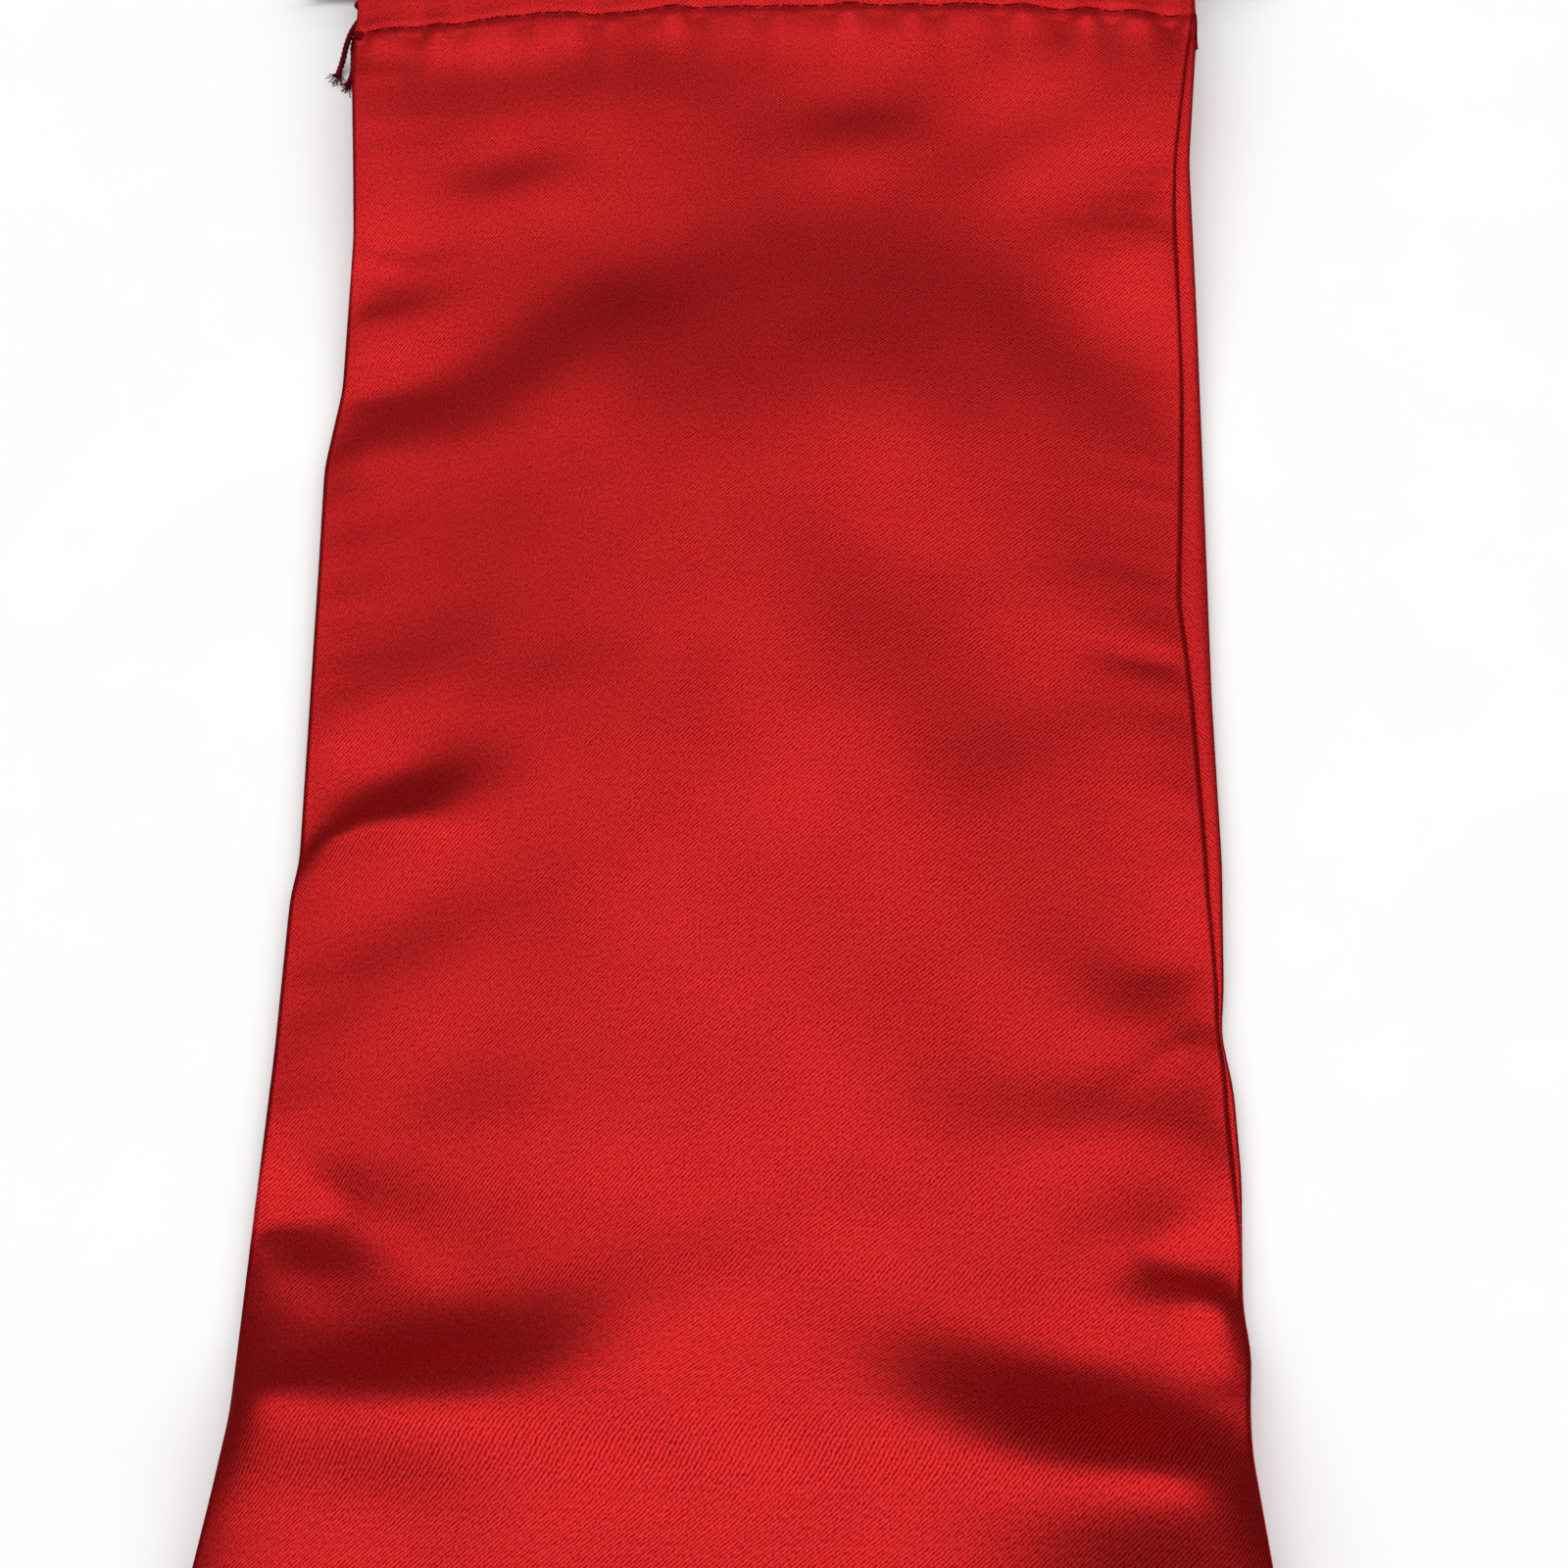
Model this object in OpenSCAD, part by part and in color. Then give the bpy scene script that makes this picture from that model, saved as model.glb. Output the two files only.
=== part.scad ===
// Satin gift sack lying flat and lofted, with a drawstring casing and a free header above it.
// X runs across the sack, Y from the bottom seam to the mouth, Z up from the table.

/* [Sack] */
// Width of the sack laid flat, seam to seam
sack_w = 150; // [120:1:190]
// Length from the bottom seam to the mouth edge
sack_l = 360; // [290:1:440]
// Height of the front panel above the table where it stands highest
loft = 22; // [18:0.5:30]
// How far the loft draws in each side along the middle
side_pinch = 4; // [2:0.5:6]
// Length over which the sides are drawn in, at each end
pinch_run = 50; // [40:1:60]

/* [Cloth] */
// Thickness of one ply of satin
ply = 0.4; // [0.3:0.05:0.5]
// Width of the seam allowances turned into the sack
seam_allowance = 8; // [6:0.5:10]
// Distance of the turned-in allowances from the seamed edge
seam_tuck = 2; // [1.8:0.1:3]
// Width of the overlocked thread edging on the allowances
overlock_w = 3; // [2:0.5:4]
// Thickness of the overlocked thread edging
overlock_t = 0.25; // [0.2:0.05:0.4]

/* [Mouth] */
// Height of the free header above the casing
header_h = 25; // [20:1:40]
// Height of the casing between the hinge line of the header and the lower row of stitches
casing_h = 20; // [19:0.5:24]
// Free height of the mouth between the two facings
mouth_gap = 6; // [5:0.5:9]
// Length of the gusset where the side seam ends at the foot of the slit
slit_foot = 3; // [2:0.5:5]
// Gap left at the fold line between the casing and the header
fold_gap = 0.3; // [0.2:0.05:0.5]

/* [Stitches] */
// Distance from one needle hole to the next
stitch_pitch = 3.5; // [2.5:0.1:4.5]
// Length of a needle hole, where the thread dips between two stitches
stitch_dip = 0.6; // [0.4:0.1:1]
// Thickness of the sewing thread
thread_d = 0.35; // [0.25:0.05:0.5]
// How far the rows of stitches stay inside the sides of the sack
row_margin = 2; // [1.5:0.5:4]

/* [Drawstrings] */
// Diameter of the drawstrings
cord_d = 1.2; // [1:0.1:1.6]
// Clearance around a drawstring inside its tunnel
cord_clearance = 0.3; // [0.2:0.05:0.5]
// Diameter of the knot that ties a drawstring's two ends
knot_d = 3.4; // [3:0.1:4.4]
// How far a drawstring's loop stands out of the slit opposite its knot
bight = 12; // [10:0.5:16]

/* [Bar tacks] */
// Width of the bar tack at the foot of a slit
tack_w = 1.4; // [1:0.1:2]
// Length of the bar tack along the seam
tack_l = 1.6; // [1:0.1:3]
// Height of the bar tack above the table
tack_h = 3.6; // [3:0.1:4.5]

/* [Hidden] */

satin = [0.76, 0.11, 0.14];
satin_inside = [0.62, 0.09, 0.12];
thread_red = [0.45, 0.06, 0.1];
burgundy = [0.3, 0.07, 0.11];

half_w = sack_w / 2;
y_bottom = -sack_l / 2;
y_mouth = sack_l / 2;
y_fold = y_mouth - header_h;
y_row = y_fold - casing_h;
upper_row_inset = 0.8;
y_upper_row = y_fold - upper_row_inset;
facing_turn = 0.4;
y_flat = y_row - facing_turn - 0.1;
y_foot = y_row - slit_foot;

// Heights of the plies, from the table up through the mouth
tunnel_gap = cord_d + 2 * cord_clearance;
stack_t = 2 * ply + tunnel_gap;
z_back_facing = ply + tunnel_gap;
z_front_facing = stack_t + mouth_gap;
z_front_ply = z_front_facing + ply + tunnel_gap;
z_casing_top = z_front_ply + ply;
z_back_cord = ply + tunnel_gap / 2;
z_front_cord = z_front_facing + ply + tunnel_gap / 2;
z_mouth_middle = stack_t + mouth_gap / 2;
fold_r = stack_t / 2;

// Shape of the lofted front panel
bottom_run = 80;
neck_run = 60;
round_power = 2.2;
neck_power = 6;
edge_power = 0.6;
across_n = 32;
bottom_n = 12;
middle_n = 8;
neck_n = 10;
outline_step = 10;

// Cord routes: [outward from the casing's end, along from the lower row of stitches, up or share]
cord_sides = 8;
arc_n = 8;
left_tunnel_at = 15;
right_tunnel_at = 18.2;
far_strand_points = 4;
knot_at = [-1.9, 10.5];
knot_half_gap = 0.65;
// From the tip of each free tail to the knot; the third value is the height above the table
upper_tail = [[3.6, -1.2, 0.8], [3.2, 0.5, 1.1], [2.6, 1.9, 2.1], [2.1, 3, 3.4],
    [1.3, 4.2, 4.9], [0.4, 5.7, 5.8], [-0.7, 7.3, 6.2]];
lower_tail = [[1.7, -3.3, 0.8], [1.1, -1.7, 0.8], [0.8, 0.2, 1.2], [0.75, 2, 2.2],
    [0.75, 3.7, 3.2], [0.2, 5.5, 4.2], [-0.9, 6.9, 4.8]];
// From the knot to the end of a tunnel; the third value is the share of the height
// between the middle of the mouth and the tunnel
strand_turn = [[-1, 12.6, 0.2], [0.5, 13.5, 0.4], [1.1, 14.3, 0.7], [0.8, 14.9, 0.95], [-0.6, 15, 1]];

function smooth_share(t) = let (c = min(1, max(0, t))) c * c * (3 - 2 * c);

// Half the width of the sack at a place along it
function half_at(y) = half_w - side_pinch
    * smooth_share((y - y_bottom) / pinch_run) * smooth_share((y_row - y) / pinch_run);

function unit(v) = v / norm(v);

// ---- Cloth ----

// Rows of the front panel: [y outside, y inside, height outside, height inside, power]; power 0 is flat
bottom_rows = [for (k = [0 : bottom_n])
    let (v = cos(90 * k / bottom_n), g = pow(1 - pow(v, round_power), edge_power))
    [y_bottom + bottom_run * (1 - v), y_bottom + bottom_run - (bottom_run - ply) * v,
        2 * ply + (loft - 2 * ply) * g, ply + (loft - 2 * ply) * g, round_power]];
middle_end = y_row - neck_run;
middle_rows = [for (k = [1 : middle_n])
    let (y = y_bottom + bottom_run + (middle_end - y_bottom - bottom_run) * k / middle_n)
    [y, y, loft, loft - ply, round_power]];
neck_rows = [for (k = [1 : neck_n])
    let (s = smooth_share(k / neck_n), y = middle_end + (y_foot - middle_end) * k / neck_n,
        top = loft + (z_casing_top - loft) * s)
    [y, y, top, top - ply, round_power + (neck_power - round_power) * s]];
casing_rows = [for (y = [y_flat, y_fold]) [y, y, z_casing_top, z_front_ply, 0]];
panel_rows = concat(bottom_rows, middle_rows, neck_rows, casing_rows);

function outer_point(row, u) = row[4] == 0 ? [half_w * u, row[0], row[2]]
    : [half_at(row[0]) * u, row[0], 2 * ply + (row[2] - 2 * ply) * dome_share(u, row[4])];
function inner_point(row, u) = row[4] == 0 ? [half_w * u, row[1], row[3]]
    : [(half_at(row[1]) - ply) * u, row[1], ply + (row[3] - ply) * dome_share(u, row[4])];
function dome_share(u, power) = abs(u) >= 1 ? 0 : pow(1 - pow(abs(u), power), edge_power);

module front_panel() {
    rows = len(panel_rows);
    cols = across_n + 1;
    across = [for (j = [0 : across_n]) sin(-90 + 180 * j / across_n)];
    points = concat([for (row = panel_rows, u = across) outer_point(row, u)],
        [for (row = panel_rows, u = across) inner_point(row, u)]);
    under = rows * cols;
    top_faces = [for (i = [0 : rows - 2], j = [0 : cols - 2]) let (a = i * cols + j)
        each [[a, a + cols, a + 1], [a + 1, a + cols, a + cols + 1]]];
    under_faces = [for (f = top_faces) [under + f[0], under + f[2], under + f[1]]];
    left_faces = [for (i = [0 : rows - 2]) let (a = i * cols)
        each [[a, under + a, a + cols], [a + cols, under + a, under + a + cols]]];
    right_faces = [for (i = [0 : rows - 2]) let (a = i * cols + cols - 1)
        each [[a, a + cols, under + a], [a + cols, under + a + cols, under + a]]];
    low_faces = [for (j = [0 : cols - 2])
        each [[j, j + 1, under + j], [j + 1, under + j + 1, under + j]]];
    high_faces = [for (j = [0 : cols - 2]) let (a = (rows - 1) * cols + j)
        each [[a, under + a, a + 1], [a + 1, under + a, under + a + 1]]];
    color(satin) polyhedron(points,
        concat(top_faces, under_faces, left_faces, right_faces, low_faces, high_faces));
}

// Outline of a strip along one side, between two distances in from the seamed edge
function side_strip(side, from_y, to_y, outer_in, inner_in) =
    let (n = ceil((to_y - from_y) / outline_step))
    concat([for (k = [0 : n]) let (y = from_y + (to_y - from_y) * k / n)
        [side * (half_at(y) - outer_in), y]],
        [for (k = [n : -1 : 0]) let (y = from_y + (to_y - from_y) * k / n)
        [side * (half_at(y) - inner_in), y]]);

module back_panel() {
    top = y_mouth - fold_r;
    n = ceil((top - y_bottom) / outline_step);
    right = [for (k = [0 : n]) let (y = y_bottom + (top - y_bottom) * k / n) [half_at(y), y]];
    left = [for (k = [n : -1 : 0]) [-right[k][0], right[k][1]]];
    color(satin) linear_extrude(ply) polygon(concat(right, left));
}

// Hem folded over at the mouth edge: two legs at the heights of a casing's two plies
module folded_hem(base_z, low_leg_y, high_leg_y) {
    fold_y = y_mouth - fold_r;
    translate([-half_w, 0, base_z]) rotate([90, 0, 90]) linear_extrude(sack_w) union() {
        translate([high_leg_y, stack_t - ply]) square([fold_y - high_leg_y, ply]);
        if (low_leg_y < fold_y) translate([low_leg_y, 0]) square([fold_y - low_leg_y, ply]);
        intersection() {
            translate([fold_y, fold_r]) difference() {
                circle(fold_r, $fn = 48);
                circle(fold_r - ply, $fn = 48);
            }
            translate([fold_y, 0]) square([fold_r, stack_t]);
        }
    }
}

module front_header() {
    color(satin) folded_hem(z_front_facing, y_fold + fold_gap, y_fold + fold_gap);
}

module back_facing() {
    color(satin_inside) folded_hem(0, y_mouth, y_row - facing_turn);
}

module front_facing() {
    color(satin_inside) translate([-half_w, y_row - facing_turn, z_front_facing])
        cube([sack_w, casing_h + facing_turn, ply]);
}

// ---- Seams inside the sack ----

allowance_low = y_bottom + seam_allowance;
bottom_strip_half = half_w - seam_allowance - fold_gap;

module side_allowance(side) {
    color(satin_inside) translate([0, 0, ply]) linear_extrude(2 * ply)
        polygon(side_strip(side, allowance_low, y_foot, seam_tuck, seam_allowance));
}

module side_overlock(side) {
    color(thread_red) translate([0, 0, 3 * ply]) linear_extrude(overlock_t)
        polygon(side_strip(side, allowance_low, y_foot, seam_allowance - overlock_w, seam_allowance));
}

module bottom_seam_allowance() {
    color(satin_inside) translate([-bottom_strip_half, y_bottom + seam_tuck, ply])
        cube([2 * bottom_strip_half, seam_allowance - seam_tuck, 2 * ply]);
}

module bottom_overlock() {
    color(thread_red) translate([-bottom_strip_half, allowance_low - overlock_w, 3 * ply])
        cube([2 * bottom_strip_half, overlock_w, overlock_t]);
}

// One stitch lying on a seam allowance, half sunk into its upper ply
module seam_stitch(from, to) {
    run = to - from;
    sunk = thread_d / 2;
    translate([from[0], from[1], 3 * ply - sunk]) rotate(atan2(run[1], run[0]))
        translate([stitch_dip / 2, -thread_d / 2, 0]) cube([norm(run) - stitch_dip, thread_d, thread_d]);
}

stitch_in = seam_tuck + 1;

module side_stitching(side) {
    n = floor((y_foot - allowance_low) / stitch_pitch);
    color(thread_red) for (k = [0 : n - 1]) {
        y = allowance_low + k * stitch_pitch;
        seam_stitch([side * (half_at(y) - stitch_in), y],
            [side * (half_at(y + stitch_pitch) - stitch_in), y + stitch_pitch]);
    }
}

module bottom_seam_stitching() {
    n = floor(2 * bottom_strip_half / stitch_pitch);
    start = -n * stitch_pitch / 2;
    color(thread_red) for (k = [0 : n - 1])
        seam_stitch([start + k * stitch_pitch, y_bottom + stitch_in],
            [start + (k + 1) * stitch_pitch, y_bottom + stitch_in]);
}

// ---- Casing stitches ----

// Row of lock stitches across a casing: a ladder of thread through both of its plies
module casing_stitching(y, low_z, high_z) {
    n = floor((sack_w - 2 * row_margin) / stitch_pitch);
    start = -n * stitch_pitch / 2;
    window_h = high_z - low_z - 2 * thread_d;
    color(thread_red) translate([0, y + thread_d / 2, 0]) rotate([90, 0, 0]) linear_extrude(thread_d)
        difference() {
            translate([start, low_z]) square([n * stitch_pitch, high_z - low_z]);
            for (k = [0 : n - 1])
                translate([start + k * stitch_pitch + stitch_dip / 2, low_z + thread_d])
                    square([stitch_pitch - stitch_dip, window_h]);
        }
}

thread_out = thread_d / 2;
// The back rows sink into the cloth on the side that the sack lies on
thread_sunk = 0.1;

module front_casing_stitching(y) {
    casing_stitching(y, z_front_facing - thread_out, z_casing_top + thread_out);
}

module back_casing_stitching(y) {
    casing_stitching(y, thread_sunk, stack_t + thread_out);
}

// Dense block of thread that closes the foot of a slit
module bar_tack(side) {
    color(thread_red) translate([side * (half_at(y_foot) - tack_w / 2), y_foot - tack_l / 2, tack_h / 2])
        cube([tack_w, tack_l, tack_h], center = true);
}

// ---- Drawstrings ----

// Route of a drawstring tied at its left: tail, knot, front tunnel, loop, back tunnel, knot, tail
function half_route(tail, up, tunnel_z) = concat(
    [for (p = tail) [-half_w - p[0], p[1], p[2]]],
    [[-half_w - knot_at[0], knot_at[1] - 1.2, z_mouth_middle + up * knot_half_gap],
        [-half_w - knot_at[0], knot_at[1] + 0.8, z_mouth_middle + up * knot_half_gap]],
    [for (p = strand_turn) [-half_w - p[0], p[1], z_mouth_middle + (tunnel_z - z_mouth_middle) * p[2]]],
    [for (k = [1 : far_strand_points]) [-half_w + sack_w * k / far_strand_points, left_tunnel_at, tunnel_z]]);

loop_r = (z_front_cord - z_back_cord) / 2;
loop_arc = [for (k = [0 : arc_n]) let (a = 90 - 180 * k / arc_n)
    [half_w + bight - loop_r + loop_r * cos(a), left_tunnel_at, z_back_cord + loop_r + loop_r * sin(a)]];

function reversed(list) = [for (i = [len(list) - 1 : -1 : 0]) list[i]];

route = concat(half_route(upper_tail, 1, z_front_cord), loop_arc,
    reversed(half_route(lower_tail, -1, z_back_cord)));

// Tube swept along a route: a ring of points square to the route at each of its points
module swept_cord(path) {
    count = len(path);
    tangents = [for (i = [0 : count - 1]) unit(path[min(i + 1, count - 1)] - path[max(i - 1, 0)])];
    side_ways = [for (i = 0, v = unit(cross(tangents[0], [1, 0, 0])); i < count;
        i = i + 1, v = i < count ? unit(v - (v * tangents[i]) * tangents[i]) : v) v];
    points = [for (i = [0 : count - 1], k = [0 : cord_sides - 1])
        let (a = 360 * k / cord_sides, w = cross(tangents[i], side_ways[i]))
        path[i] + cord_d / 2 * (cos(a) * side_ways[i] + sin(a) * w)];
    skin = [for (i = [0 : count - 2], k = [0 : cord_sides - 1])
        let (a = i * cord_sides + k, b = i * cord_sides + (k + 1) % cord_sides)
        each [[a, a + cord_sides, b], [b, a + cord_sides, b + cord_sides]]];
    last = (count - 1) * cord_sides;
    polyhedron(points, concat(skin, [[for (k = [0 : cord_sides - 1]) k]],
        [[for (k = [cord_sides - 1 : -1 : 0]) last + k]]));
}

// The right drawstring is the left one turned half round, with its tails towards the mouth
module as_right_drawstring() {
    translate([0, left_tunnel_at + right_tunnel_at, 0]) rotate(180) children();
}

module drawstring() {
    color(burgundy) swept_cord(route);
}

module drawstring_knot() {
    color(burgundy) translate([-half_w - knot_at[0], knot_at[1], z_mouth_middle])
        sphere(knot_d / 2, $fn = 32);
}

module left_drawstring() { translate([0, y_row, 0]) drawstring(); }
module left_drawstring_knot() { translate([0, y_row, 0]) drawstring_knot(); }
module right_drawstring() { translate([0, y_row, 0]) as_right_drawstring() drawstring(); }
module right_drawstring_knot() { translate([0, y_row, 0]) as_right_drawstring() drawstring_knot(); }

back_panel();
front_panel();
front_header();
front_facing();
back_facing();
side_allowance(-1);  // left_seam_allowance
side_allowance(1);  // right_seam_allowance
bottom_seam_allowance();
side_overlock(-1);  // left_overlock
side_overlock(1);  // right_overlock
bottom_overlock();
side_stitching(-1);  // left_seam_stitching
side_stitching(1);  // right_seam_stitching
bottom_seam_stitching();
front_casing_stitching(y_row);  // front_lower_stitching
front_casing_stitching(y_upper_row);  // front_upper_stitching
back_casing_stitching(y_row);  // back_lower_stitching
back_casing_stitching(y_upper_row);  // back_upper_stitching
bar_tack(-1);  // left_bar_tack
bar_tack(1);  // right_bar_tack
left_drawstring();
left_drawstring_knot();
right_drawstring();
right_drawstring_knot();
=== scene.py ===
"""Red satin gift sack, lying flat and lofted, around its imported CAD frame. Metres, Z up."""
import math

import bpy
import numpy as np
from mathutils import Matrix, Vector


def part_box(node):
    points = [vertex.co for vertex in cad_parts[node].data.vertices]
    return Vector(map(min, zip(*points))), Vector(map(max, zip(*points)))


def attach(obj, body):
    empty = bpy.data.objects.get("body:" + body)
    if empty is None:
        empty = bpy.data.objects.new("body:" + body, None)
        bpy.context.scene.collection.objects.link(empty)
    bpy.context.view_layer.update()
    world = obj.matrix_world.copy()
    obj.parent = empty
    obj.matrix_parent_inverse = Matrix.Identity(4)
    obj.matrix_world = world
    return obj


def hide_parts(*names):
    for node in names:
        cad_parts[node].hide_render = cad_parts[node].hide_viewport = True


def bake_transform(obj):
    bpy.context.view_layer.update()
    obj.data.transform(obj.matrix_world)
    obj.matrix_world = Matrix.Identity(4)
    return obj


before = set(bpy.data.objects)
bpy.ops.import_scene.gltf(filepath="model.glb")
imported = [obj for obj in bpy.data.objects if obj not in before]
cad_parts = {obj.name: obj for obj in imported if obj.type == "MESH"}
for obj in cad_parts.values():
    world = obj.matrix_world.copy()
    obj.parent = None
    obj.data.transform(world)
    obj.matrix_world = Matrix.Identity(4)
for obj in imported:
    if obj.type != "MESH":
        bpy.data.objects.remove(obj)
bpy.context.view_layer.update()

MM = 0.001

# ---- Places that the frame gives ----

def middle_y(name):
    low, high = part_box(name)
    return (low[1] + high[1]) / 2


row_y = middle_y("front_lower_stitching")
upper_row_y = middle_y("front_upper_stitching")
half_w, mouth_y, casing_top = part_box("front_header")[1]
_, fold_y, facing_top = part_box("front_facing")[1]
facing_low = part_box("front_facing")[0][2]
back_facing_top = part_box("back_facing")[1][2]
bottom_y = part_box("front_panel")[0][1]
loft_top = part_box("front_panel")[1][2]

CLOTH = 0.25 * MM         # thickness of the visible cloth
STITCHES = 41             # stitches in a row of the casing
STITCH_PITCH = 3.5 * MM
STITCH_RISE, STITCH_SINK = 0.08, 0.3   # millimetres over the cloth, and down into a needle hole
THREAD_R = 0.17 * MM
FINE_THREAD_R = 0.14 * MM   # overlock and bar tacks


# ---- Small tools ----

def smooth(t):
    t = np.clip(t, 0.0, 1.0)
    return t * t * (3 - 2 * t)


def through(points, width=3.0):
    """A function that runs smoothly through given (y, value) points, all in millimetres."""
    points = sorted(points)
    fine = np.arange(-200.0, 200.1, 0.5)
    line = np.interp(fine, [p[0] for p in points], [p[1] for p in points])
    reach = int(4 * width)
    kernel = np.exp(-0.5 * (np.arange(-reach, reach + 1) * 0.5 / width) ** 2)
    padded = np.pad(line, reach, mode="edge")
    soft = np.convolve(padded, kernel / kernel.sum(), mode="valid")
    return lambda y: np.interp(y, fine, soft)


def ripple(count, shortest, longest, seed):
    """A repeatable uneven wave of about unit height, as a function of a length in millimetres."""
    draw = np.random.default_rng(seed)
    lengths = draw.uniform(shortest, longest, count)
    phases = draw.uniform(0, 2 * np.pi, count)
    heights = draw.uniform(0.4, 1.0, count)

    def wave(s):
        total = sum(h * np.sin(2 * np.pi * s / l + p) for h, l, p in zip(heights, lengths, phases))
        return total / np.sqrt(np.sum(heights ** 2) / 2) * 0.6
    return wave


def make_object(name, verts, faces, material):
    mesh = bpy.data.meshes.new(name)
    mesh.from_pydata([tuple(v) for v in verts], [], faces)
    mesh.polygons.foreach_set("use_smooth", [True] * len(mesh.polygons))
    mesh.materials.append(material)
    mesh.update()
    obj = bpy.data.objects.new(name, mesh)
    bpy.context.scene.collection.objects.link(obj)
    return obj


def normals_of(grid):
    across = np.gradient(grid, axis=1)
    along = np.gradient(grid, axis=0)
    n = np.cross(across, along)
    return n / np.maximum(np.linalg.norm(n, axis=2, keepdims=True), 1e-12)


def sheet_object(name, grid, uv, thickness, material, wrong_side):
    """A closed thin sheet: the grid is its right side, and its wrong side lies thickness below."""
    rows, cols = grid.shape[:2]
    under = grid - thickness * normals_of(grid)
    verts = np.concatenate([grid.reshape(-1, 3), under.reshape(-1, 3)])
    base = np.arange(rows * cols).reshape(rows, cols)
    a, b, c, d = base[:-1, :-1], base[:-1, 1:], base[1:, 1:], base[1:, :-1]
    top = np.stack([a, b, c, d], axis=-1).reshape(-1, 4)
    low = top[:, ::-1] + rows * cols
    rims = []
    for edge in (base[0, :], base[:, -1], base[::-1, 0], base[-1, ::-1]):
        p, q = edge[:-1], edge[1:]
        rims.append(np.stack([q, p, p + rows * cols, q + rows * cols], axis=-1))
    faces = np.concatenate([top, low] + rims)
    obj = make_object(name, verts, faces.tolist(), material)
    obj.data.materials.append(wrong_side)
    sides = np.zeros(len(faces), dtype=np.int32)
    sides[len(top):2 * len(top)] = 1
    obj.data.polygons.foreach_set("material_index", sides)
    layer = obj.data.uv_layers.new(name="weave")
    flat = np.concatenate([uv.reshape(-1, 2), uv.reshape(-1, 2)])
    index = np.empty(len(obj.data.loops), dtype=np.int64)
    obj.data.loops.foreach_get("vertex_index", index)
    layer.data.foreach_set("uv", flat[index].ravel())
    return obj


def rings_along(path, radius, sides, twist=0.0, ridge=0.0, strands=2):
    """Rings of points square to a path: a tube, or a twisted cord when it has ridges."""
    path = np.asarray(path, float)
    count = len(path)
    tangent = np.gradient(path, axis=0)
    tangent /= np.linalg.norm(tangent, axis=1, keepdims=True)
    seed = np.array([0.0, 0.0, 1.0])
    if abs(tangent[0] @ seed) > 0.9:
        seed = np.array([1.0, 0.0, 0.0])
    side = np.cross(tangent[0], seed)
    side /= np.linalg.norm(side)
    run = np.concatenate([[0], np.cumsum(np.linalg.norm(np.diff(path, axis=0), axis=1))])
    turns = np.arange(sides) * 2 * np.pi / sides
    radius = np.broadcast_to(radius, count)
    rings = np.empty((count, sides, 3))
    for i in range(count):
        side = side - (side @ tangent[i]) * tangent[i]
        side /= np.linalg.norm(side)
        other = np.cross(tangent[i], side)
        phase = turns + twist * run[i]
        r = radius[i] * (1 - ridge * (0.5 + 0.5 * np.cos(strands * turns)))
        rings[i] = path[i] + (np.cos(phase) * r)[:, None] * side + (np.sin(phase) * r)[:, None] * other
    return rings


def tube_faces(count, sides, start=0):
    faces = []
    for i in range(count - 1):
        for k in range(sides):
            a = start + i * sides + k
            b = start + i * sides + (k + 1) % sides
            faces.append((a, b, b + sides, a + sides))
    faces.append(tuple(start + k for k in range(sides - 1, -1, -1)))
    faces.append(tuple(start + (count - 1) * sides + k for k in range(sides)))
    return faces


def tubes_object(name, paths, radius, sides, material, **shape):
    verts, faces = [], []
    for path in paths:
        rings = rings_along(path, radius, sides, **shape)
        faces += tube_faces(len(path), sides, sum(len(v) for v in verts))
        verts.append(rings.reshape(-1, 3))
    return make_object(name, np.concatenate(verts), faces, material)


def resample(points, step):
    """Catmull-Rom curve through the points, with points a step apart."""
    p = np.asarray(points, float)
    p = np.concatenate([[2 * p[0] - p[1]], p, [2 * p[-1] - p[-2]]])
    out = []
    for i in range(1, len(p) - 2):
        n = max(2, int(np.ceil(np.linalg.norm(p[i + 1] - p[i]) / step)))
        for t in np.arange(n) / n:
            out.append(0.5 * (2 * p[i] + (p[i + 1] - p[i - 1]) * t
                              + (2 * p[i - 1] - 5 * p[i] + 4 * p[i + 1] - p[i + 2]) * t ** 2
                              + (3 * p[i] - p[i - 1] - 3 * p[i + 1] + p[i + 2]) * t ** 3))
    out.append(p[-2])
    return np.array(out)


# ---- Materials ----

def new_material(name):
    material = bpy.data.materials.new(name)
    material.use_nodes = True
    tree = material.node_tree
    tree.nodes.clear()
    output = tree.nodes.new("ShaderNodeOutputMaterial")
    shader = tree.nodes.new("ShaderNodeBsdfPrincipled")
    tree.links.new(shader.outputs["BSDF"], output.inputs["Surface"])
    return material, tree, shader


def math_node(tree, operation, first, second=None):
    node = tree.nodes.new("ShaderNodeMath")
    node.operation = operation
    for socket, value in zip(node.inputs, (first, second)):
        if value is None:
            continue
        if isinstance(value, (int, float)):
            socket.default_value = value
        else:
            tree.links.new(value, socket)
    return node.outputs[0]


def noise_node(tree, vector, scale, detail=2.0):
    node = tree.nodes.new("ShaderNodeTexNoise")
    node.inputs["Scale"].default_value = scale
    node.inputs["Detail"].default_value = detail
    tree.links.new(vector, node.inputs["Vector"])
    return node.outputs["Fac"]


def stretched(tree, vector, scale):
    node = tree.nodes.new("ShaderNodeMapping")
    node.inputs["Scale"].default_value = scale
    tree.links.new(vector, node.inputs["Vector"])
    return node.outputs["Vector"]


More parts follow.
